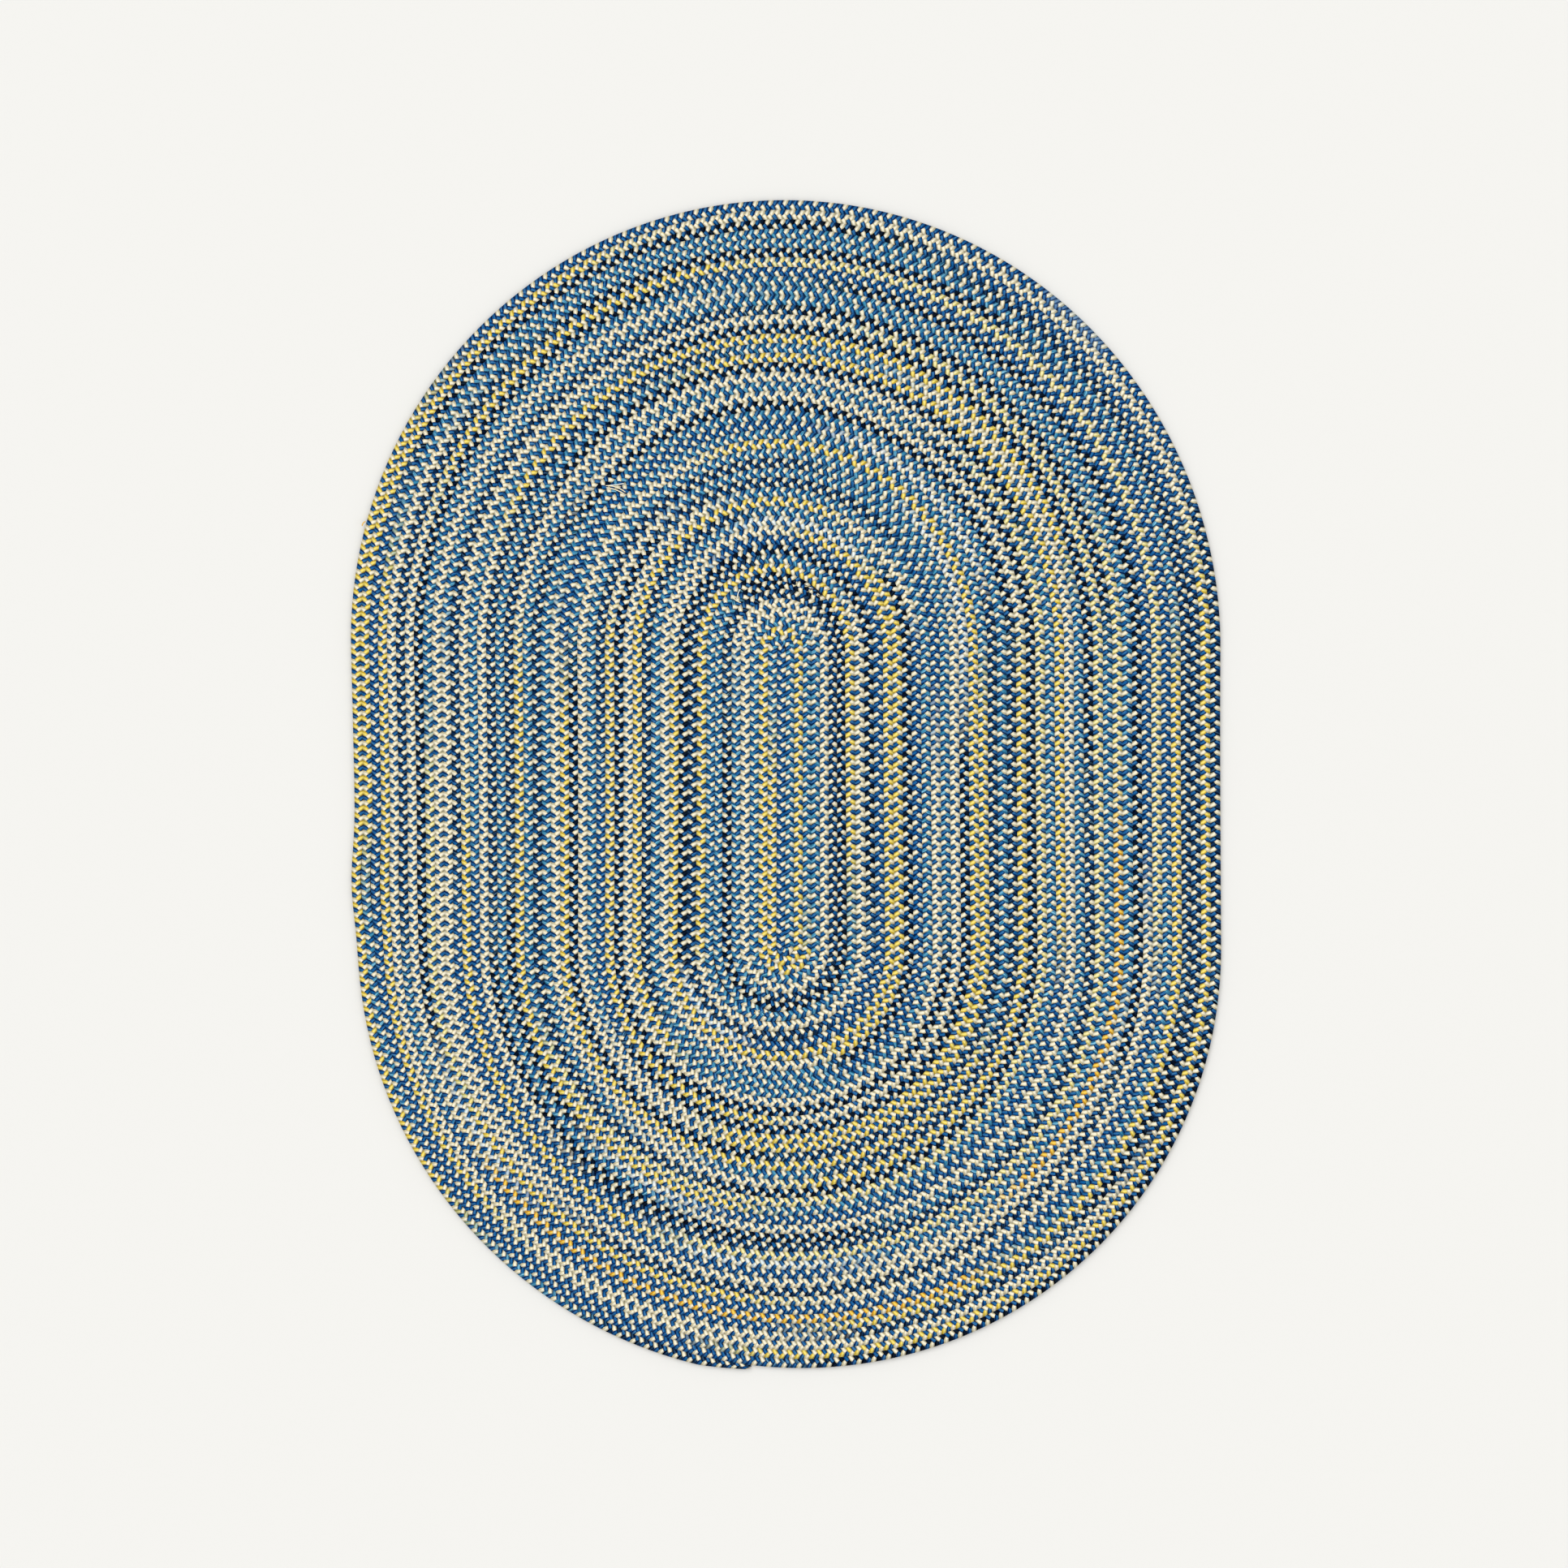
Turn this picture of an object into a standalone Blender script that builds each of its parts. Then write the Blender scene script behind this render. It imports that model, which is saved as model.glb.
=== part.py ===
"""An oval braided rug, lying flat.

One flat braid of three strands starts as a short straight core. It winds round this core counter-clockwise, each lap
laced to the lap before it, until it tapers off against the rug's lower edge. The laced rug is one piece, so it is one
solid, and its outline is the outer edge of the last lap. The strands themselves are finer than this solid.

Metres, +Z up. The rug's length runs along Y. The origin is on the floor, under the middle of the rug.
"""

import math
from collections import namedtuple

import bmesh
import bpy

# The braid and how it is wound
BRAID_THICKNESS = 0.010
CORE_LENGTH = 0.620  # straight stretch that the laps wind round
LAPS = 46.24  # from the start of the core to the braid's end
FIRST_LAP_GAP = 0.25  # laps' worth of space between the middle of the core's line and the braid's start

# Where the laps are: the share of a lap is counted counter-clockwise from the middle of the right side.
SIDE_SHARE = 0.09  # share of a lap that each straight side takes
START_SHARE = 0.50  # the braid starts on the left side

# The last stretch of the braid, drawn in and tucked against the lap inside it
TAPER_LAPS = 0.016
TAPER_END_WIDTH = 0.5  # share of the full width that is left at the end

# One spot on the left side where the laps were laced loosely
Bulge = namedtuple("Bulge", "share height half_width")
BULGE = Bulge(share=0.526, height=0.0105, half_width=0.010)

# How far apart the laps lie: the middle value, and how it swells and narrows round the rug. Each wave has a number of
# peaks, a height, and the share of a lap at one of its peaks. The laps are tightest at the lower left.
SPACING = 0.01943
Wave = namedtuple("Wave", "peaks height share")
SPACING_WAVES = (
    Wave(peaks=1, height=0.00058, share=0.147),
    Wave(peaks=2, height=0.00021, share=0.341),
    Wave(peaks=3, height=0.00010, share=0.217),
)

# The side of the rug in section, from the underside to the top: how far in from the edge, and how high
Rim = namedtuple("Rim", "inset height")
RIM_SECTION = (
    Rim(inset=0.0030, height=0.0000),
    Rim(inset=0.0008, height=0.0020),
    Rim(inset=0.0000, height=0.0050),
    Rim(inset=0.0008, height=0.0080),
    Rim(inset=0.0032, height=BRAID_THICKNESS),
)
OUTLINE_POINTS = 280
END_GAP = 0.00002  # share of a lap between the points on either side of the braid's end

# The rug seen from some way off: its cream, blues and yellow together
RUG_COLOUR = (0.36, 0.375, 0.339, 1.0)
RUG_ROUGHNESS = 0.9


def clear_scene():
    for obj in list(bpy.data.objects):
        bpy.data.objects.remove(obj, do_unlink=True)


def spacing_at(share):
    """Distance between two laps in metres."""
    spacing = SPACING
    for wave in SPACING_WAVES:
        spacing += wave.height * math.cos(2.0 * math.pi * wave.peaks * (share - wave.share))
    return spacing


def core_point(share):
    """The core's nearest point (as its Y) and the way outwards, at a share of a lap."""
    half_side = 0.5 * SIDE_SHARE
    half_core = 0.5 * CORE_LENGTH
    round_end = 0.5 - SIDE_SHARE
    share = share % 1.0
    if share < half_side:
        return half_core * share / half_side, 0.0
    if share < 0.5 - half_side:
        return half_core, math.pi * (share - half_side) / round_end
    if share < 0.5 + half_side:
        return half_core * (0.5 - share) / half_side, math.pi
    if share < 1.0 - half_side:
        return -half_core, math.pi * (1.0 + (share - 0.5 - half_side) / round_end)
    return half_core * (share - 1.0) / half_side, 0.0


def laps_at_edge(share):
    """Laps from the core's line to the rug's edge, in the last lap before the braid's end or just after it."""
    end_share = (START_SHARE + LAPS) % 1.0
    behind_end = (end_share - share) % 1.0
    width = 1.0
    if behind_end < TAPER_LAPS:
        width = TAPER_END_WIDTH + (1.0 - TAPER_END_WIDTH) * behind_end / TAPER_LAPS
    return FIRST_LAP_GAP + LAPS - behind_end - 0.5 + width


def bulge_at(share):
    offset = (share - BULGE.share) / BULGE.half_width
    return BULGE.height * math.exp(-0.5 * offset * offset)


def edge_point(share, inset):
    core_y, direction = core_point(share)
    reach = spacing_at(share) * laps_at_edge(share) + bulge_at(share) - inset
    return reach * math.cos(direction), core_y + reach * math.sin(direction)


def outline_shares():
    """Places round the rug, from just after the braid's end, where the edge steps in, to just before it."""
    first = START_SHARE + LAPS + END_GAP
    step = (1.0 - 2.0 * END_GAP) / (OUTLINE_POINTS - 1)
    return [(first + step * index) % 1.0 for index in range(OUTLINE_POINTS)]


def outline_middle(shares):
    points = [edge_point(share, 0.0) for share in shares]
    xs = [point[0] for point in points]
    ys = [point[1] for point in points]
    return 0.5 * (min(xs) + max(xs)), 0.5 * (min(ys) + max(ys))


def rug_material():
    material = bpy.data.materials.new("braided_cloth")
    material.use_nodes = True
    shader = material.node_tree.nodes["Principled BSDF"]
    shader.inputs["Base Color"].default_value = RUG_COLOUR
    shader.inputs["Roughness"].default_value = RUG_ROUGHNESS
    shader.inputs["Metallic"].default_value = 0.0
    return material


def build_rug():
    shares = outline_shares()
    middle_x, middle_y = outline_middle(shares)
    mesh_maker = bmesh.new()
    rings = []
    for rim in RIM_SECTION:
        ring = []
        for share in shares:
            x, y = edge_point(share, rim.inset)
            ring.append(mesh_maker.verts.new((x - middle_x, y - middle_y, rim.height)))
        rings.append(ring)
    for lower, upper in zip(rings, rings[1:]):
        for index in range(OUTLINE_POINTS):
            after = (index + 1) % OUTLINE_POINTS
            mesh_maker.faces.new((lower[index], lower[after], upper[after], upper[index]))
    mesh_maker.faces.new(list(reversed(rings[0])))
    mesh_maker.faces.new(rings[-1])
    bmesh.ops.recalc_face_normals(mesh_maker, faces=mesh_maker.faces)

    mesh = bpy.data.meshes.new("rug")
    mesh_maker.to_mesh(mesh)
    mesh_maker.free()
    mesh.shade_smooth()
    mesh.set_sharp_from_angle(angle=math.radians(50.0))
    mesh.materials.append(rug_material())
    rug = bpy.data.objects.new("rug", mesh)
    bpy.context.scene.collection.objects.link(rug)
    return rug


clear_scene()
build_rug()
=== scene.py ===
"""The looks of the oval braided rug: three cloth strands plaited flat and wound round a short core.

Metres, +Z up, in the CAD model's frame. The strands are modelled one by one. Their cloth is a procedural
material.
"""

import math
from collections import namedtuple

import bpy
import numpy as np
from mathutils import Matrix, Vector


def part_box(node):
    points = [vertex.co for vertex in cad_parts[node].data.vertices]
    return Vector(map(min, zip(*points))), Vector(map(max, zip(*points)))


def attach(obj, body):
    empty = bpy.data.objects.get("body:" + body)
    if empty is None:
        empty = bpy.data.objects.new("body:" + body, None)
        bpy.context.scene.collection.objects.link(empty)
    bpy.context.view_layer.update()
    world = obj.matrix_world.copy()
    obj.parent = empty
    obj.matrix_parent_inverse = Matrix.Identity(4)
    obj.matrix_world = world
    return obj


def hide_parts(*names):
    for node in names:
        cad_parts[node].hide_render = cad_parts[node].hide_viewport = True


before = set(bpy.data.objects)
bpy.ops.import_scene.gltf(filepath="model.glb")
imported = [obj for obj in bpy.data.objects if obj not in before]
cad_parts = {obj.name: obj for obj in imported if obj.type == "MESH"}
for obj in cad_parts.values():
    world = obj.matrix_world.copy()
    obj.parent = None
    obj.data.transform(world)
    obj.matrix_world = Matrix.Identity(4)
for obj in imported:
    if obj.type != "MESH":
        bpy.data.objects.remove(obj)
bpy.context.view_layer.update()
cad_low, cad_high = (np.array(corner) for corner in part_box("rug"))
RUG_HEIGHT = float(cad_high[2] - cad_low[2])

# ---------------------------------------------------------------- how the braid is wound
# A place round the rug is a share of a lap, counted counter-clockwise from the middle of the right side.
CORE_LENGTH = 0.620  # straight stretch that the laps wind round
LAPS = 46.24  # from the start of the core to the braid's end
FIRST_LAP_GAP = 0.25  # laps' worth of space between the core's line and the braid's start
SIDE_SHARE = 0.09  # share of a lap that each straight side takes
START_SHARE = 0.50  # the braid starts on the left side
TAPER_LAPS = 0.016  # last stretch of the braid, drawn in against the lap inside it
TAPER_END_WIDTH = 0.5  # share of the full width that is left at the end
POINTS_PER_LAP = 600  # along the braid's line
OUTLINE_STEPS = 4000  # places at which the outline's middle is measured

# One spot where the outer laps were laced loosely
Bulge = namedtuple("Bulge", "share height half_width from_lap to_lap")
BULGE = Bulge(share=0.526, height=0.0105, half_width=0.010, from_lap=36.0, to_lap=46.0)

# A value that swells and narrows round the rug has waves: how many peaks, how high, and the share of one peak
Wave = namedtuple("Wave", "peaks height share")

# How far apart the laps lie
SPACING = 0.01943
SPACING_WAVES = (
    Wave(peaks=1, height=0.00058, share=0.147),
    Wave(peaks=2, height=0.00021, share=0.341),
    Wave(peaks=3, height=0.00010, share=0.217),
)

# How many laps the laps of each length are shifted outwards, where all of the shift holds
FIRST_SHIFT = -0.25
FIRST_SHIFT_WAVES = (
    Wave(peaks=1, height=0.31, share=0.592),
    Wave(peaks=2, height=0.14, share=0.277),
)
FIRST_SHIFT_GROWN = 7.0  # lap from which all of it holds
SECOND_SHIFT = 0.24
SECOND_SHIFT_WAVES = (
    Wave(peaks=1, height=0.83, share=0.543),
    Wave(peaks=2, height=0.19, share=0.257),
    Wave(peaks=3, height=0.17, share=0.301),
)
SECOND_SHIFT_FADE = 3  # how late it fades: the power of the lap's share of all laps

# The braid is in two lengths. The second starts outside the first, rather more than half a lap before the
# first ends.
Length = namedtuple("Length", "start end lead_in start_taper end_taper shift shift_waves narrow_lap")
FIRST_LENGTH = Length(
    start=-0.045, end=7.25, lead_in=0.014, start_taper=0.010, end_taper=0.055,
    shift=FIRST_SHIFT, shift_waves=FIRST_SHIFT_WAVES, narrow_lap=7.2,
)
SECOND_LENGTH = Length(
    start=6.665, end=LAPS, lead_in=0.0, start_taper=0.055, end_taper=0.010,
    shift=SECOND_SHIFT, shift_waves=SECOND_SHIFT_WAVES, narrow_lap=6.7,
)
NARROWEST = 0.93  # width of both lengths where they lie side by side, as a share of the full width
NARROW_LAPS = 0.5  # how far from its end each length is narrow
NARROW_EDGE_LAPS = 0.1  # how quickly it gets narrow

# Where the laps make room for the second length's start, and close up after the first one's end
Nudge = namedtuple("Nudge", "share half_width laps from_lap to_lap")
NUDGES = (
    Nudge(share=0.265, half_width=0.04, laps=0.22, from_lap=6.7, to_lap=9.5),
    Nudge(share=0.76, half_width=0.05, laps=-0.54, from_lap=7.0, to_lap=13.0),
)

# ---------------------------------------------------------------- the braid's own sizes
PERIOD = 0.031  # length of braid in which a strand comes back to the same edge
SIDES = 4
THICKNESS = 0.0046  # of one strand
LIFT = 0.004  # how much higher a strand twice as wide lies
FULL_SPACING = 0.0194  # width of braid at which the strands have exactly these sizes
END_WIDTH = 0.35  # width that a tapered end is drawn in to, as a share of the full width
END_CLEARANCE = 0.003  # no section's middle is nearer to an end of the braid
MAP_ROWS = 97  # rows in which a strand is laid on its texture map
END_TILE = 0.01  # width on that map of each end of a run

# A strand's sections in one period. Each lies along the braid. The height is that of its middle, above the
# braid's own middle, and the lean is how much higher its back end is than that. The face is the way its first
# face looks, in degrees from straight up towards the right. The shade is painted shade: how much darker the
# cloth is coloured at the fold, where the groove between the rows lies in shadow.
Section = namedtuple("Section", "turn aside height lean long face shade")
SECTIONS = (
    Section(turn=0.000, aside=0.0000, height=0.0000, lean=0.0021, long=0.0134, face=180.0, shade=1.00),
    Section(turn=0.211, aside=0.0083, height=-0.0023, lean=0.0000, long=0.0090, face=135.0, shade=0.40),
    Section(turn=0.289, aside=0.0083, height=0.0022, lean=0.0000, long=0.0090, face=45.0, shade=0.80),
    Section(turn=0.500, aside=0.0000, height=0.0000, lean=0.0021, long=0.0134, face=0.0, shade=1.00),
    Section(turn=0.711, aside=-0.0083, height=-0.0023, lean=0.0000, long=0.0090, face=45.0, shade=0.40),
    Section(turn=0.789, aside=-0.0083, height=0.0022, lean=0.0000, long=0.0090, face=135.0, shade=0.80),
)

# ---------------------------------------------------------------- colours of the cloth, as linear RGB
Cloth = namedtuple("Cloth", "colour streaks")
CLOTHS = {
    "cream": Cloth((0.96, 0.89, 0.69), 0.05),
    "white": Cloth((0.88, 0.90, 0.86), 0.35),
    "pale yellow": Cloth((0.94, 0.85, 0.42), 0.04),
    "yellow": Cloth((0.95, 0.77, 0.18), 0.04),
    "gold": Cloth((0.95, 0.63, 0.09), 0.06),
    "light blue": Cloth((0.038, 0.25, 0.43), 0.85),
    "blue": Cloth((0.004, 0.106, 0.325), 0.22),
    "dark blue": Cloth((0.001, 0.020, 0.075), 0.12),
    "black": Cloth((0.0007, 0.005, 0.019), 0.03),
}

# The third strand's strips of cloth in the order in which they were joined, with the lap where each ends
Strip = namedtuple("Strip", "cloth to_lap")
FIRST_STRIPS = (
    Strip("blue", 0.40), Strip("light blue", 0.98), Strip("yellow", 2.46), Strip("light blue", 3.60),
    Strip("cream", 4.96), Strip("light blue", 5.20), Strip("dark blue", 5.97), Strip("black", 6.85),
    Strip("light blue", 8.00),
)
SECOND_STRIPS = (
    Strip("black", 6.84), Strip("light blue", 7.47), Strip("yellow", 8.06), Strip("cream", 8.64),
    Strip("light blue", 8.78), Strip("dark blue", 9.33), Strip("blue", 9.46), Strip("black", 10.08),
    Strip("white", 10.20), Strip("blue", 10.84), Strip("cream", 10.95), Strip("yellow", 11.74),
    Strip("cream", 12.30), Strip("yellow", 12.65), Strip("white", 12.80), Strip("light blue", 13.30),
    Strip("black", 13.64), Strip("light blue", 13.78), Strip("dark blue", 14.12), Strip("light blue", 14.30),
    Strip("blue", 14.57), Strip("cream", 14.70), Strip("yellow", 15.15), Strip("light blue", 15.80),
    Strip("cream", 16.52), Strip("blue", 16.64), Strip("dark blue", 16.85), Strip("black", 17.46),
    Strip("light blue", 17.84), Strip("cream", 17.93), Strip("yellow", 18.25), Strip("cream", 18.58),
    Strip("light blue", 18.72), Strip("dark blue", 18.99), Strip("blue", 19.11), Strip("black", 19.53),
    Strip("white", 19.66), Strip("light blue", 20.10), Strip("cream", 20.20), Strip("yellow", 20.80),
    Strip("cream", 21.20), Strip("yellow", 21.54), Strip("light blue", 21.95), Strip("black", 22.25),
    Strip("dark blue", 22.59), Strip("white", 22.72), Strip("blue", 22.96), Strip("yellow", 23.40),
    Strip("light blue", 23.93), Strip("cream", 24.20), Strip("light blue", 24.27), Strip("dark blue", 24.55),
    Strip("black", 24.89), Strip("light blue", 25.16), Strip("cream", 25.25), Strip("yellow", 25.55),
    Strip("cream", 25.87), Strip("dark blue", 26.20), Strip("black", 26.68), Strip("light blue", 27.09),
    Strip("pale yellow", 27.65), Strip("cream", 27.95), Strip("yellow", 28.24), Strip("light blue", 28.60),
    Strip("black", 28.88), Strip("dark blue", 29.02), Strip("black", 29.15), Strip("white", 29.21),
    Strip("blue", 29.45), Strip("yellow", 29.80), Strip("light blue", 30.20), Strip("cream", 30.70),
    Strip("light blue", 30.77), Strip("dark blue", 31.04), Strip("black", 31.30), Strip("light blue", 31.58),
    Strip("yellow", 31.90), Strip("cream", 32.14), Strip("dark blue", 32.50), Strip("black", 32.82),
    Strip("light blue", 33.02), Strip("blue", 33.20), Strip("pale yellow", 33.72), Strip("cream", 34.00),
    Strip("yellow", 34.20), Strip("white", 34.28), Strip("light blue", 34.55), Strip("black", 34.76),
    Strip("dark blue", 35.03), Strip("blue", 35.28), Strip("cream", 35.34), Strip("gold", 35.50),
    Strip("pale yellow", 35.60), Strip("light blue", 35.95),
    Strip("cream", 36.43), Strip("light blue", 36.77),
    Strip("cream", 37.16), Strip("dark blue", 37.40), Strip("black", 37.74), Strip("light blue", 37.98),
    Strip("pale yellow", 38.10), Strip("yellow", 38.25), Strip("cream", 38.47), Strip("blue", 38.78),
    Strip("black", 39.09), Strip("white", 39.14), Strip("blue", 39.45), Strip("pale yellow", 39.76),
    Strip("yellow", 39.90), Strip("cream", 40.12), Strip("gold", 40.33), Strip("light blue", 40.48),
    Strip("blue", 40.66), Strip("black", 40.84), Strip("dark blue", 41.05), Strip("light blue", 41.10),
    Strip("blue", 41.26), Strip("yellow", 41.55), Strip("light blue", 41.87), Strip("cream", 42.26),
    Strip("dark blue", 42.35), Strip("black", 42.44), Strip("dark blue", 42.70), Strip("light blue", 42.92),
    Strip("yellow", 43.15), Strip("cream", 43.38), Strip("dark blue", 43.58), Strip("blue", 43.70),
    Strip("black", 43.90), Strip("blue", 44.23), Strip("yellow", 44.58), Strip("cream", 44.80),
    Strip("yellow", 45.02), Strip("light blue", 45.10), Strip("blue", 45.25), Strip("black", 45.44),
    Strip("dark blue", 45.60), Strip("blue", 45.87), Strip("yellow", 46.14), Strip("light blue", 46.18),
    Strip("dark blue", 47.00),
)
JOIN_LAPS = 0.016  # half the stretch in which one strip gives way to the next
JOIN_STREAKS = 1.4  # how streaky the cloth gets in that stretch
STRANDS = ("cream", "blue", "strips")  # what the three strands are made of
PLUMPNESS = (1.01, 0.99, 1.00)  # how wide each strand is

# Where the sun has faded the last laps: middle, half width across and along, and how strongly
Fade = namedtuple("Fade", "x y across along strength")
FADES = (
    Fade(0.565, 1.032, 0.014, 0.028, 0.50),
    Fade(0.610, 0.992, 0.013, 0.028, 0.62),
    Fade(0.650, 0.948, 0.013, 0.028, 0.50),
)
FADED = (0.46, 0.62, 0.74)

# Loose ends of thread that stick out on the upper side: where each starts, its heading, length and turn
Thread = namedtuple("Thread", "x y heading length turn cloth")
THREADS = (
    Thread(-0.382, 0.621, 5.0, 0.044, -40.0, "cream"),
    Thread(-0.380, 0.618, -5.0, 0.040, -25.0, "cream"),
    Thread(-0.376, 0.622, 0.0, 0.034, 12.0, "white"),
    Thread(-0.115, 0.396, -60.0, 0.024, 40.0, "cream"),
    Thread(-0.100, 0.384, 100.0, 0.020, -45.0, "white"),
    Thread(0.102, 0.352, -100.0, 0.022, 35.0, "black"),
    Thread(-0.872, 0.548, 200.0, 0.012, 60.0, "gold"),
)
THREAD_SECTIONS = 7
THREAD_THICKNESS = 0.0020
THREAD_DEPTH = 0.002  # how far under the rug's top a thread starts
THREAD_RISE = 0.003  # how far it rises from there

# ---------------------------------------------------------------- the cloth's surface, and the braid's inside, coloured as painted shade
CLOTH_ROUGHNESS = 0.85
CLOTH_SPECULAR = 0.03
SHEEN_WEIGHT = 0.015
SHEEN_ROUGHNESS = 0.5
YARN_SCALE = (55.0, 26.0, 1.0)  # how fine the yarns are, along a strand in metres and round it in turns
YARN_FROM = 0.50  # noise at which a light yarn begins to show
YARN_TO = 0.62
LIGHT_YARN = (0.30, 0.63, 0.82, 1.0)
# painted shade: each strand's cloth is coloured darker towards its edges, where the leaves meet in shadow
EDGE_SHADE_FROM = 0.50  # nearness to a strand's edge at which it begins to darken
EDGE_SHADE_TO = 0.98
EDGE_SHADE_GAMMA = 2.1
EDGE_SHADE_TINT = (0.70, 0.72, 0.74, 1.0)
BUMP_STRENGTH = 0.5
BUMP_DISTANCE = 0.001
INSIDE_ROUGHNESS = 0.95
INSIDE_SCALE = 300.0
# painted shade: the sheet inside the braid is coloured near black, for the deep shadow in the gaps between
# the strands
INSIDE_SHADE_DARK = (0.004, 0.010, 0.030, 1.0)
INSIDE_SHADE_PALE = (0.035, 0.040, 0.050, 1.0)
INSIDE_STEPS = 360  # corners in each ring of the sheet inside the braid
INSIDE_RINGS = (1.0, 8.0, 20.0, 34.0, 47.5)  # how many laps in from the edge each ring lies

# ---------------------------------------------------------------- floor, light and camera
FLOOR_SIZE = 80.0
FLOOR_HEIGHT = -0.0005
FLOOR_COLOUR = (0.744, 0.740, 0.719, 1.0)
FLOOR_ROUGHNESS = 0.9
Sun = namedtuple("Sun", "name azimuth elevation spread strength")
SUNS = (
    Sun("key", azimuth=130.0, elevation=55.0, spread=50.0, strength=1.22),
    Sun("fill", azimuth=-30.0, elevation=60.0, spread=60.0, strength=0.40),
)
SUN_HEIGHT = 3.0
WORLD_COLOUR = (1.0, 0.995, 0.98, 1.0)
WORLD_STRENGTH = 0.80
CAMERA_X = -0.0042
CAMERA_Y = 0.0017
CAMERA_DISTANCE = 6.0
CAMERA_SENSOR = 36.0
CAMERA_FIELD = 3.2577  # width that the camera sees at the height of the rug's top
CAMERA_REACH = 100.0


# ---------------------------------------------------------------- the braid's line
def with_waves(middle_value, waves, share):
    """A value at a share of a lap, from its middle value and its waves round the rug."""
    value = middle_value + 0.0 * share
    for wave in waves:
        value = value + wave.height * np.cos(2.0 * math.pi * wave.peaks * (share - wave.share))
    return value


def shift_held(length, lap):
    """How much of a length's shift holds at a lap. The first one's grows and the second one's fades."""
    if length is FIRST_LENGTH:
        return np.clip(lap / FIRST_SHIFT_GROWN, 0.0, 1.0)
    return 1.0 - np.clip(lap / LAPS, 0.0, 1.0) ** SECOND_SHIFT_FADE


def core_point(share):
    """The core's nearest point (as its Y) and the way outwards, at a share of a lap."""
    half_side = 0.5 * SIDE_SHARE
    half_core = 0.5 * CORE_LENGTH
    round_end = 0.5 - SIDE_SHARE
    share = np.mod(share, 1.0)
    places = (share < half_side, share < 0.5 - half_side, share < 0.5 + half_side, share < 1.0 - half_side)
    y = np.select(
        places,
        (
            half_core * share / half_side,
            half_core + 0.0 * share,
            half_core * (0.5 - share) / half_side,
            -half_core + 0.0 * share,
        ),
        half_core * (share - 1.0) / half_side,
    )
    direction = np.select(
        places,
        (
            0.0 * share,
            math.pi * (share - half_side) / round_end,
            math.pi + 0.0 * share,
            math.pi * (1.0 + (share - 0.5 - half_side) / round_end),
        ),
        0.0,
    )
    return y, direction


def outline_middle():
    """The middle of the rug's outline, which the CAD model has at its origin."""
    share = np.arange(OUTLINE_STEPS) / OUTLINE_STEPS
    behind_end = np.mod(START_SHARE + LAPS - share, 1.0)
    width = np.minimum(1.0, TAPER_END_WIDTH + (1.0 - TAPER_END_WIDTH) * behind_end / TAPER_LAPS)
    laps_at_edge = FIRST_LAP_GAP + LAPS - behind_end - 0.5 + width
    reach = with_waves(SPACING, SPACING_WAVES, share) * laps_at_edge
    reach += BULGE.height * np.exp(-0.5 * ((share - BULGE.share) / BULGE.half_width) ** 2)
    core_y, direction = core_point(share)
    x = reach * np.cos(direction)
    y = core_y + reach * np.sin(direction)
    return 0.5 * (x.min() + x.max()), 0.5 * (y.min() + y.max())


def braid_line(length):
    """Points along the middle of one length of braid, with the lap, distance along and width at each."""
    lap = np.linspace(length.start, length.end, int(POINTS_PER_LAP * (length.end - length.start)))
    share = START_SHARE + lap
    spacing = with_waves(SPACING, SPACING_WAVES, share)
    pattern = with_waves(length.shift, length.shift_waves, share)
    shift = shift_held(length, lap) * pattern
    stretch = 1.0 + (shift_held(length, lap + 0.5) - shift_held(length, lap - 0.5)) * pattern
    if length is SECOND_LENGTH:
        for nudge in NUDGES:
            near = np.exp(-0.5 * ((np.mod(share, 1.0) - nudge.share) / nudge.half_width) ** 2)
            left = np.clip((nudge.to_lap - lap) / (nudge.to_lap - nudge.from_lap), 0.0, 1.0)
            shift += nudge.laps * near * left
    reach = spacing * (lap + FIRST_LAP_GAP + shift)
    from_bulge = (np.mod(share, 1.0) - BULGE.share) / BULGE.half_width
    bulge = BULGE.height * np.exp(-0.5 * from_bulge**2)
    outer = np.clip((lap - BULGE.from_lap) / (BULGE.to_lap - BULGE.from_lap), 0.0, 1.0)
    reach += bulge * outer * outer
    core_y, direction = core_point(share)
    points = np.stack((reach * np.cos(direction), core_y + reach * np.sin(direction)), axis=1)
    points -= outline_middle()
    start_heading = (points[1] - points[0]) / np.linalg.norm(points[1] - points[0])
    points[0] -= length.lead_in * start_heading
    steps = np.linalg.norm(np.diff(points, axis=0), axis=1)
    along = np.concatenate(([0.0], np.cumsum(steps)))
    beside = np.clip((NARROW_LAPS - np.abs(lap - length.narrow_lap)) / NARROW_EDGE_LAPS, 0.0, 1.0)
    width = spacing * stretch * (1.0 - (1.0 - NARROWEST) * beside)
    return lap, points, along, width


# ---------------------------------------------------------------- strands
def strip_colours(strips, lap):
    """Colour and streaks of the third strand, each strip running into the next over a short stretch."""
    colours = np.array([CLOTHS[strip.cloth].colour for strip in strips])
    streaks = np.array([CLOTHS[strip.cloth].streaks for strip in strips])
    ends = np.array([strip.to_lap for strip in strips])
    here = np.clip(np.searchsorted(ends, lap), 0, len(ends) - 1)
    colour = colours[here].copy()
    streak = streaks[here].copy()
    for step in (-1, 1):
        other = np.clip(here + step, 0, len(ends) - 1)
        border = ends[np.minimum(here, other)]
        mix = np.clip(0.5 - 0.5 * np.abs(lap - border) / JOIN_LAPS, 0.0, 0.5) * (other != here)
        colour += mix[:, None] * (colours[other] - colours[here])
        streak += JOIN_STREAKS * mix * (1.0 - streaks[here])
    return colour, streak


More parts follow.
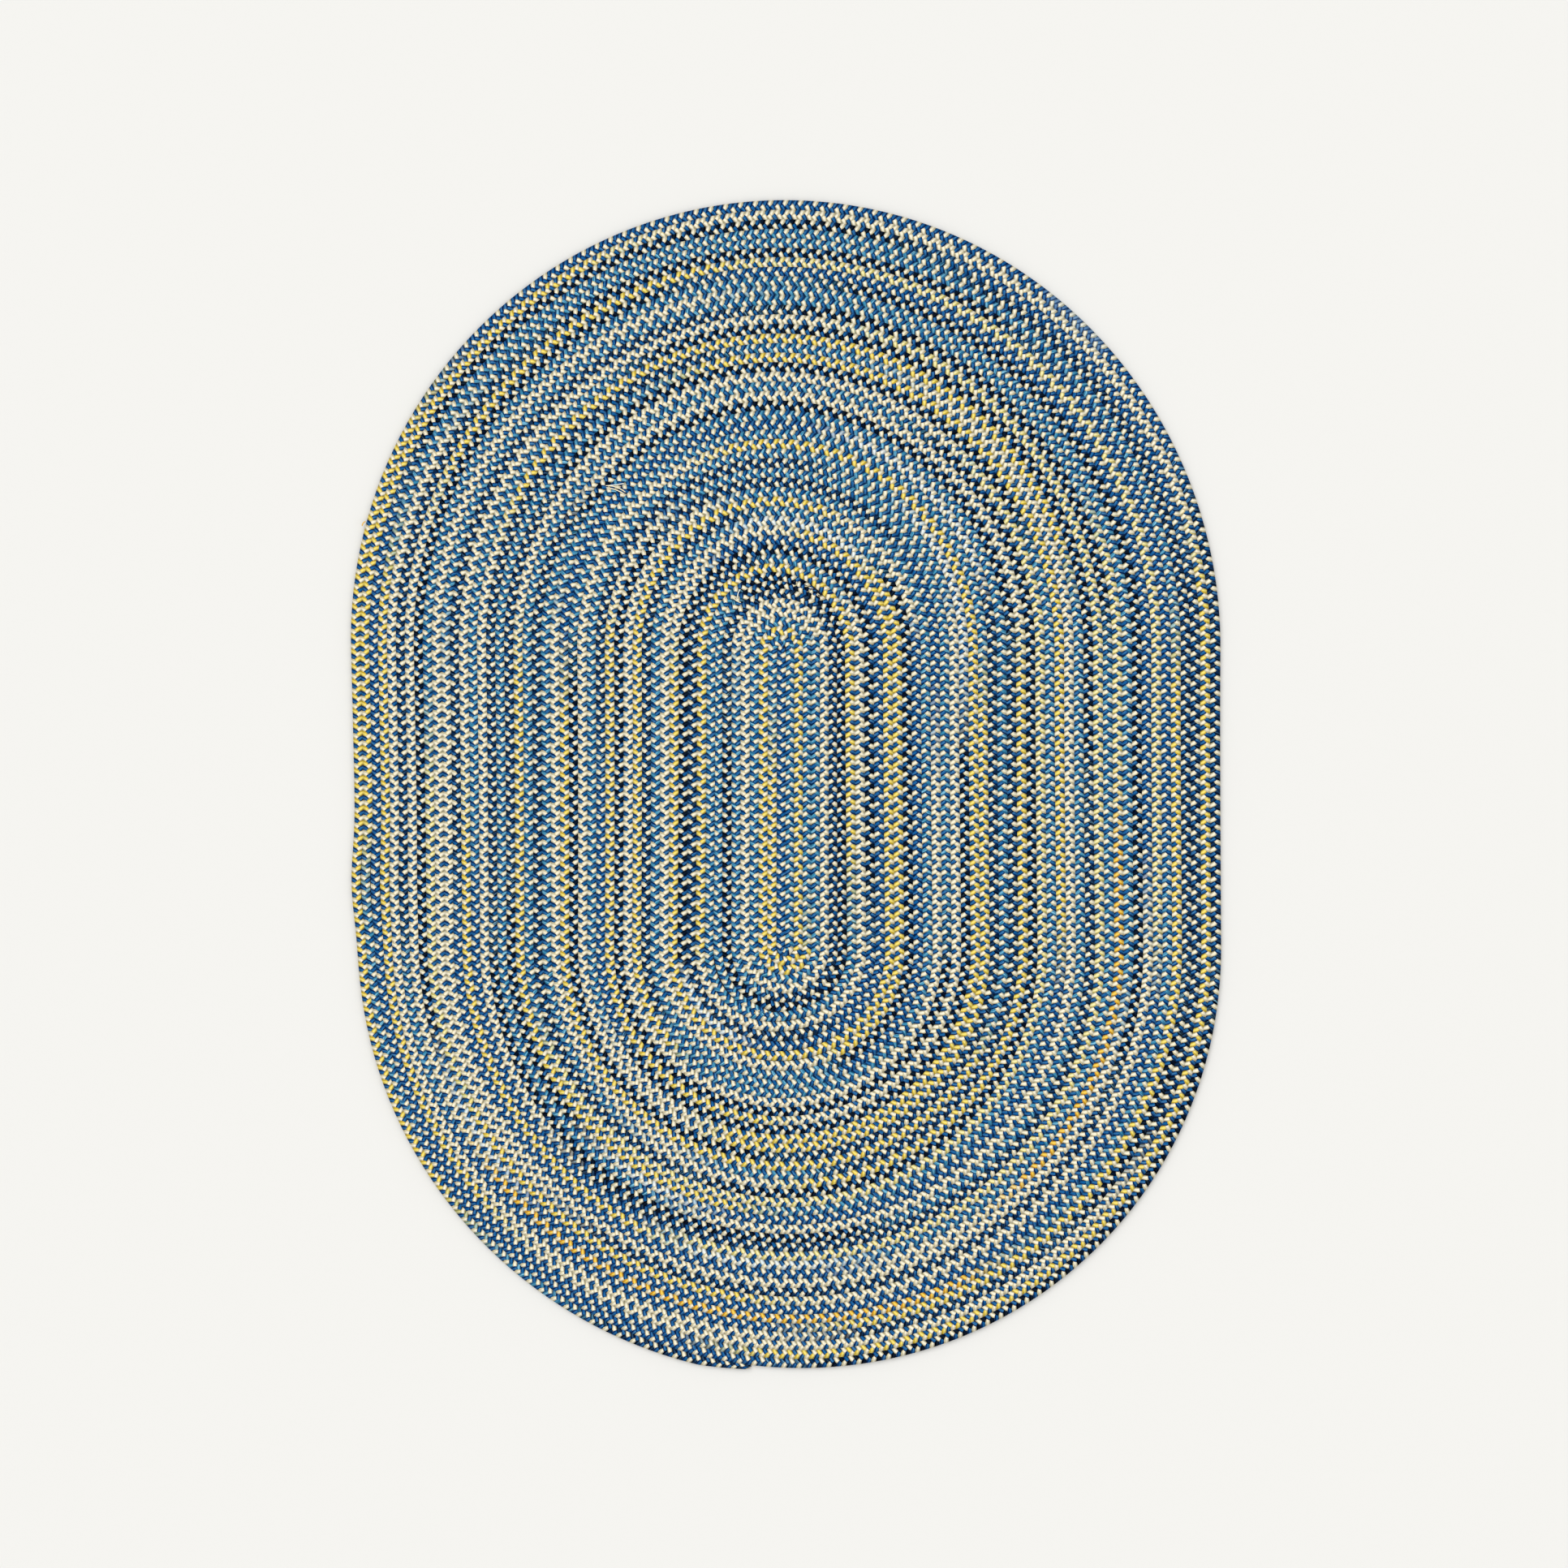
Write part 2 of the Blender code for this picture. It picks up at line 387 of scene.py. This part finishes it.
def faded(colour, x, y):
    """The colours at places on the rug, paler where the sun has faded them."""
    for fade in FADES:
        distance = np.hypot((x - fade.x) / fade.across, (y - fade.y) / fade.along)
        amount = fade.strength * np.exp(-0.5 * distance * distance)
        colour = colour + amount[:, None] * (np.array(FADED) - colour)
    return colour


def strand_sections(length, strips, strand):
    """Everything about one strand of one length of braid, section by section."""
    lap, line, along, width = braid_line(length)
    total = along[-1]
    heading = np.gradient(line, along, axis=0)
    heading /= np.linalg.norm(heading, axis=1)[:, None]
    size = width / FULL_SPACING
    from_end = np.minimum(along / length.start_taper, (total - along) / length.end_taper)
    size *= END_WIDTH + (1.0 - END_WIDTH) * np.minimum(from_end, 1.0)
    inwards = np.zeros(len(lap))
    if length.end == LAPS:
        taper = np.clip((length.end - lap) / TAPER_LAPS, 0.0, 1.0)
        size *= TAPER_END_WIDTH + (1.0 - TAPER_END_WIDTH) * taper
        inwards = 0.5 * FULL_SPACING * (1.0 - TAPER_END_WIDTH) * (1.0 - taper)

    periods = np.arange(int(total / PERIOD) + 3) - 1.0
    phase = strand / len(STRANDS)
    turns = (periods[:, None] + np.array([row.turn for row in SECTIONS])[None, :]).ravel()
    table = np.tile(np.array([row[1:] for row in SECTIONS]), (len(periods), 1))
    s = PERIOD * (turns - phase)
    inside = (s > END_CLEARANCE) & (s < total - END_CLEARANCE)
    s, table = s[inside], table[inside]
    aside, height, lean, long, face, shade = table.T
    face = np.radians(face)
    long = long * PLUMPNESS[strand]
    height = height + LIFT * (PLUMPNESS[strand] - 1.0) * np.sign(height)

    corners = np.empty((len(s), SIDES, 3))
    for corner, (end, side) in enumerate(((-1, 1), (1, 1), (1, -1), (-1, -1))):
        at = np.clip(s + end * 0.5 * long, 0.0, total)
        across = (aside + side * 0.5 * THICKNESS * np.sin(face)) * np.interp(at, along, size)
        across -= np.interp(at, along, inwards)
        for axis, other, sign in ((0, 1, 1.0), (1, 0, -1.0)):
            corners[:, corner, axis] = np.interp(at, along, line[:, axis])
            corners[:, corner, axis] += sign * across * np.interp(at, along, heading[:, other])
        middle_height = 0.5 * RUG_HEIGHT + height - end * lean
        corners[:, corner, 2] = middle_height + side * 0.5 * THICKNESS * np.cos(face)

    laps = np.interp(s, along, lap)
    if STRANDS[strand] == "strips":
        colour, streak = strip_colours(strips, laps)
    else:
        cloth = CLOTHS[STRANDS[strand]]
        colour = np.tile(np.array(cloth.colour), (len(s), 1))
        streak = np.full(len(s), cloth.streaks)
    # painted shade: the cloth is coloured darker at the folds, where the grooves between the rows lie in
    # shadow
    colour = colour * shade[:, None]
    middle = corners.mean(axis=1)
    colour = faded(colour, middle[:, 0], middle[:, 1])
    return corners, np.concatenate((colour, streak[:, None]), axis=1), s


def thread_sections(thread):
    """A loose end of thread, which rises out of the braid and lies over it."""
    along = np.linspace(0.0, 1.0, THREAD_SECTIONS)
    heading = np.radians(thread.heading + thread.turn * along)
    step = thread.length / (THREAD_SECTIONS - 1)
    middle = np.stack(
        (
            thread.x + step * np.cumsum(np.cos(heading)),
            thread.y + step * np.cumsum(np.sin(heading)),
            RUG_HEIGHT - THREAD_DEPTH + THREAD_RISE * np.sin(0.5 * math.pi * np.minimum(2.0 * along, 1.0)),
        ),
        axis=1,
    )
    sideways = np.stack((np.sin(heading), -np.cos(heading), 0.0 * heading), axis=1)
    upwards = np.array([0.0, 0.0, 1.0])
    corners = np.stack(
        [
            middle + 0.5 * THREAD_THICKNESS * (across * sideways + height * upwards)
            for across, height in ((-1, 1), (1, 1), (1, -1), (-1, -1))
        ],
        axis=1,
    )
    cloth_of = CLOTHS[thread.cloth]
    colour = np.tile(np.array((*cloth_of.colour, 0.0)), (THREAD_SECTIONS, 1))
    return corners, colour, thread.length * along


def rows_on_map(segments_of):
    """Where each face of a tube lies on a square map: its segments in rows, then the two ends of each run."""
    in_row = math.ceil(sum(segments_of) / (MAP_ROWS - 1))
    faces = []
    done = 0
    for segments in segments_of:
        index = np.repeat(done + np.arange(segments), SIDES)
        side = np.tile(np.arange(SIDES), segments)
        left = (index % in_row) / in_row
        low = (index // in_row + side / SIDES) / MAP_ROWS
        right = left + 1.0 / in_row
        high = low + 1.0 / SIDES / MAP_ROWS
        faces.append(np.stack((left, low, left, high, right, high, right, low), axis=1).reshape(-1, 4, 2))
        low = 1.0 - 1.0 / MAP_ROWS
        left = 0.5 * done / sum(segments_of)
        for step in (0.0, 2.0 * END_TILE):
            near, far = left + step, left + step + END_TILE
            faces.append(np.array([((near, low), (far, low), (far, 1.0), (near, 1.0))]))
        done += segments
    return np.concatenate(faces)


def tube_piece(name, runs, material):
    """One mesh from several runs of strand, each a list of sections with its colours and distances."""
    points, quads, colours, distances = [], [], [], []
    base = 0
    for corners, colour, s in runs:
        count = len(corners)
        points.append(corners.reshape(-1, 3))
        ring = base + SIDES * np.arange(count - 1)[:, None] + np.arange(SIDES)[None, :]
        after = base + SIDES * np.arange(count - 1)[:, None] + (np.arange(SIDES) + 1)[None, :] % SIDES
        quads.append(np.stack((ring, after, after + SIDES, ring + SIDES), axis=2).reshape(-1, 4))
        last = base + SIDES * (count - 1)
        quads.append(np.array([[base + 3, base + 2, base + 1, base], [last, last + 1, last + 2, last + 3]]))
        colours.append(np.repeat(colour, SIDES, axis=0))
        distances.append(np.repeat(s, SIDES))
        base += SIDES * count
    points = np.concatenate(points)
    quads = np.concatenate(quads)
    mesh = bpy.data.meshes.new(name)
    mesh.vertices.add(len(points))
    mesh.vertices.foreach_set("co", points.astype(np.float32).ravel())
    mesh.loops.add(quads.size)
    mesh.loops.foreach_set("vertex_index", quads.astype(np.int32).ravel())
    mesh.polygons.add(len(quads))
    mesh.polygons.foreach_set("loop_start", np.arange(0, quads.size, 4, dtype=np.int32))
    mesh.update(calc_edges=True)
    mesh.polygons.foreach_set("use_smooth", np.ones(len(quads), bool))
    tint = mesh.color_attributes.new("tint", "FLOAT_COLOR", "POINT")
    tint.data.foreach_set("color", np.concatenate(colours).astype(np.float32).ravel())

    distance = np.concatenate(distances)
    around = np.tile(np.arange(SIDES) / SIDES, len(points) // SIDES)
    cloth_map = mesh.uv_layers.new(name="Cloth")
    corner_s = distance[quads]
    corner_a = around[quads]
    wraps = (corner_a.max(axis=1) - corner_a.min(axis=1)) > 0.6
    corner_a = np.where(wraps[:, None] & (corner_a < 0.1), corner_a + 1.0, corner_a)
    on_cloth = np.stack((corner_s, corner_a), axis=2)
    cloth_map.data.foreach_set("uv", on_cloth.astype(np.float32).ravel())
    bake_map = mesh.uv_layers.new(name="OFBake")
    on_map = rows_on_map([len(run[2]) - 1 for run in runs])
    bake_map.data.foreach_set("uv", on_map.astype(np.float32).ravel())

    piece = bpy.data.objects.new(name, mesh)
    bpy.context.scene.collection.objects.link(piece)
    mesh.materials.append(material)
    return piece


# ---------------------------------------------------------------- material
def cloth_material():
    material = bpy.data.materials.new("strand_cloth")
    material.use_nodes = True
    nodes = material.node_tree.nodes
    links = material.node_tree.links
    shader = nodes["Principled BSDF"]
    shader.inputs["Roughness"].default_value = CLOTH_ROUGHNESS
    shader.inputs["Specular IOR Level"].default_value = CLOTH_SPECULAR
    shader.inputs["Sheen Weight"].default_value = SHEEN_WEIGHT
    shader.inputs["Sheen Roughness"].default_value = SHEEN_ROUGHNESS

    tint = nodes.new("ShaderNodeAttribute")
    tint.attribute_name = "tint"
    uv = nodes.new("ShaderNodeUVMap")
    uv.uv_map = "Cloth"
    stretch = nodes.new("ShaderNodeMapping")
    stretch.inputs["Scale"].default_value = YARN_SCALE
    links.new(uv.outputs["UV"], stretch.inputs["Vector"])
    streaks = nodes.new("ShaderNodeTexNoise")
    streaks.inputs["Scale"].default_value = 1.0
    streaks.inputs["Detail"].default_value = 2.0
    links.new(stretch.outputs["Vector"], streaks.inputs["Vector"])

    # light yarns among the others
    light = nodes.new("ShaderNodeMapRange")
    light.inputs["From Min"].default_value = YARN_FROM
    light.inputs["From Max"].default_value = YARN_TO
    links.new(streaks.outputs["Fac"], light.inputs["Value"])
    share = nodes.new("ShaderNodeMath")
    share.operation = "MULTIPLY"
    links.new(light.outputs["Result"], share.inputs[0])
    links.new(tint.outputs["Alpha"], share.inputs[1])
    yarn = nodes.new("ShaderNodeMix")
    yarn.data_type = "RGBA"
    yarn.inputs["B"].default_value = LIGHT_YARN
    links.new(share.outputs["Value"], yarn.inputs["Factor"])
    links.new(tint.outputs["Color"], yarn.inputs["A"])

    # painted shade: the colour is darker towards the strand's edges, where the leaves meet in shadow
    parts = nodes.new("ShaderNodeSeparateXYZ")
    links.new(uv.outputs["UV"], parts.inputs["Vector"])
    wave = nodes.new("ShaderNodeMath")
    wave.operation = "MULTIPLY"
    wave.inputs[1].default_value = 4.0 * math.pi
    links.new(parts.outputs["Y"], wave.inputs[0])
    height = nodes.new("ShaderNodeMath")
    height.operation = "COSINE"
    links.new(wave.outputs["Value"], height.inputs[0])
    flat = nodes.new("ShaderNodeMath")
    flat.operation = "ABSOLUTE"
    links.new(height.outputs["Value"], flat.inputs[0])
    edge = nodes.new("ShaderNodeMapRange")
    edge.inputs["From Min"].default_value = EDGE_SHADE_FROM
    edge.inputs["From Max"].default_value = EDGE_SHADE_TO
    links.new(flat.outputs["Value"], edge.inputs["Value"])
    deep = nodes.new("ShaderNodeGamma")
    deep.inputs["Gamma"].default_value = EDGE_SHADE_GAMMA
    links.new(yarn.outputs["Result"], deep.inputs["Color"])
    dim = nodes.new("ShaderNodeMix")
    dim.data_type = "RGBA"
    dim.blend_type = "MULTIPLY"
    dim.inputs["Factor"].default_value = 1.0
    dim.inputs["B"].default_value = EDGE_SHADE_TINT
    links.new(deep.outputs["Color"], dim.inputs["A"])
    shade = nodes.new("ShaderNodeMix")
    shade.data_type = "RGBA"
    links.new(edge.outputs["Result"], shade.inputs["Factor"])
    links.new(yarn.outputs["Result"], shade.inputs["A"])
    links.new(dim.outputs["Result"], shade.inputs["B"])
    links.new(shade.outputs["Result"], shader.inputs["Base Color"])

    bump = nodes.new("ShaderNodeBump")
    bump.inputs["Strength"].default_value = BUMP_STRENGTH
    bump.inputs["Distance"].default_value = BUMP_DISTANCE
    links.new(streaks.outputs["Fac"], bump.inputs["Height"])
    links.new(bump.outputs["Normal"], shader.inputs["Normal"])
    return material


def inside_shade_material():
    material = bpy.data.materials.new("braid_inside_shade")
    material.use_nodes = True
    nodes = material.node_tree.nodes
    links = material.node_tree.links
    shader = nodes["Principled BSDF"]
    shader.inputs["Roughness"].default_value = INSIDE_ROUGHNESS
    place = nodes.new("ShaderNodeTexCoord")
    noise = nodes.new("ShaderNodeTexNoise")
    noise.inputs["Scale"].default_value = INSIDE_SCALE
    links.new(place.outputs["Object"], noise.inputs["Vector"])
    ramp = nodes.new("ShaderNodeMix")
    ramp.data_type = "RGBA"
    ramp.inputs["A"].default_value = INSIDE_SHADE_DARK
    ramp.inputs["B"].default_value = INSIDE_SHADE_PALE
    links.new(noise.outputs["Fac"], ramp.inputs["Factor"])
    links.new(ramp.outputs["Result"], shader.inputs["Base Color"])
    return material


# ---------------------------------------------------------------- pieces
def inside_shade_sheet(material):
    """The braid's hidden inside: a sheet coloured near black as painted shade, seen only as the dark between
    the strands.
    """
    share = np.arange(INSIDE_STEPS) / INSIDE_STEPS
    behind_end = np.mod(START_SHARE + LAPS - share, 1.0)
    spacing = with_waves(SPACING, SPACING_WAVES, share)
    core_y, direction = core_point(share)
    middle = outline_middle()
    rings = []
    for laps_in in INSIDE_RINGS:
        reach = np.maximum(spacing * (FIRST_LAP_GAP + LAPS - behind_end + 0.5 - laps_in), 0.0)
        x = reach * np.cos(direction) - middle[0]
        y = core_y + reach * np.sin(direction) - middle[1]
        rings.append(np.stack((x, y, np.full(len(share), 0.5 * RUG_HEIGHT)), axis=1))
    points = np.concatenate(rings)
    count = len(share)
    quads = []
    for ring in range(len(rings) - 1):
        a = ring * count + np.arange(count)
        b = ring * count + (np.arange(count) + 1) % count
        quads.append(np.stack((a, b, b + count, a + count), axis=1))
    mesh = bpy.data.meshes.new("braid_inside_shade")
    mesh.from_pydata(points.tolist(), [], np.concatenate(quads).tolist())
    bake_map = mesh.uv_layers.new(name="OFBake")
    corner_points = points[np.concatenate(quads).ravel(), :2]
    spread = 2.0 * np.abs(corner_points).max(axis=0)
    bake_map.data.foreach_set("uv", (0.5 + corner_points / spread).astype(np.float32).ravel())
    mesh.materials.append(material)
    piece = bpy.data.objects.new("braid_inside_shade", mesh)
    bpy.context.scene.collection.objects.link(piece)
    return piece


def split(run, cut):
    """The two parts of a strand's sections, sharing the section at the cut."""
    corners, colour, s = run
    before = (corners[: cut + 1], colour[: cut + 1], s[: cut + 1])
    after = (corners[cut:], colour[cut:], s[cut:])
    return before, after


cloth = cloth_material()
pieces = []
for strand, kind in enumerate(STRANDS):
    first = strand_sections(FIRST_LENGTH, FIRST_STRIPS, strand)
    second = strand_sections(SECOND_LENGTH, SECOND_STRIPS, strand)
    inner, outer = split(second, (len(second[0]) - len(first[0])) // 2)
    pieces.append(tube_piece(f"strand_{kind}_inner", [first, inner], cloth))
    pieces.append(tube_piece(f"strand_{kind}_outer", [outer], cloth))
pieces.append(tube_piece("loose_threads", [thread_sections(thread) for thread in THREADS], cloth))
inside = inside_shade_sheet(inside_shade_material())
for piece in (inside, *pieces):
    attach(piece, "root")
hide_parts("rug")


# ---------------------------------------------------------------- stage
def make_stage():
    bpy.ops.mesh.primitive_plane_add(size=FLOOR_SIZE, location=(0.0, 0.0, FLOOR_HEIGHT))
    floor = bpy.context.object
    floor.name = "floor"
    material = bpy.data.materials.new("floor_paint")
    material.use_nodes = True
    shader = material.node_tree.nodes["Principled BSDF"]
    shader.inputs["Base Color"].default_value = FLOOR_COLOUR
    shader.inputs["Roughness"].default_value = FLOOR_ROUGHNESS
    floor.data.materials.append(material)


def add_sun(sun):
    """Soft light from one side, the same all over the floor."""
    light = bpy.data.lights.new(sun.name, "SUN")
    light.angle = math.radians(sun.spread)
    light.energy = sun.strength
    lamp = bpy.data.objects.new(sun.name, light)
    lamp.rotation_euler = (0.0, math.radians(90.0 - sun.elevation), math.radians(sun.azimuth))
    lamp.location = (0.0, 0.0, SUN_HEIGHT)
    bpy.context.scene.collection.objects.link(lamp)


def make_camera():
    data = bpy.data.cameras.new("camera")
    data.sensor_width = CAMERA_SENSOR
    data.clip_end = CAMERA_REACH
    data.lens = CAMERA_SENSOR * CAMERA_DISTANCE / CAMERA_FIELD
    camera = bpy.data.objects.new("camera", data)
    camera.location = (CAMERA_X, CAMERA_Y, CAMERA_DISTANCE + RUG_HEIGHT)
    bpy.context.scene.collection.objects.link(camera)
    bpy.context.scene.camera = camera


make_stage()
for sun in SUNS:
    add_sun(sun)
world = bpy.data.worlds.new("studio")
world.use_nodes = True
world.node_tree.nodes["Background"].inputs["Color"].default_value = WORLD_COLOUR
world.node_tree.nodes["Background"].inputs["Strength"].default_value = WORLD_STRENGTH
bpy.context.scene.world = world
bpy.context.scene.view_settings.view_transform = "Standard"
make_camera()
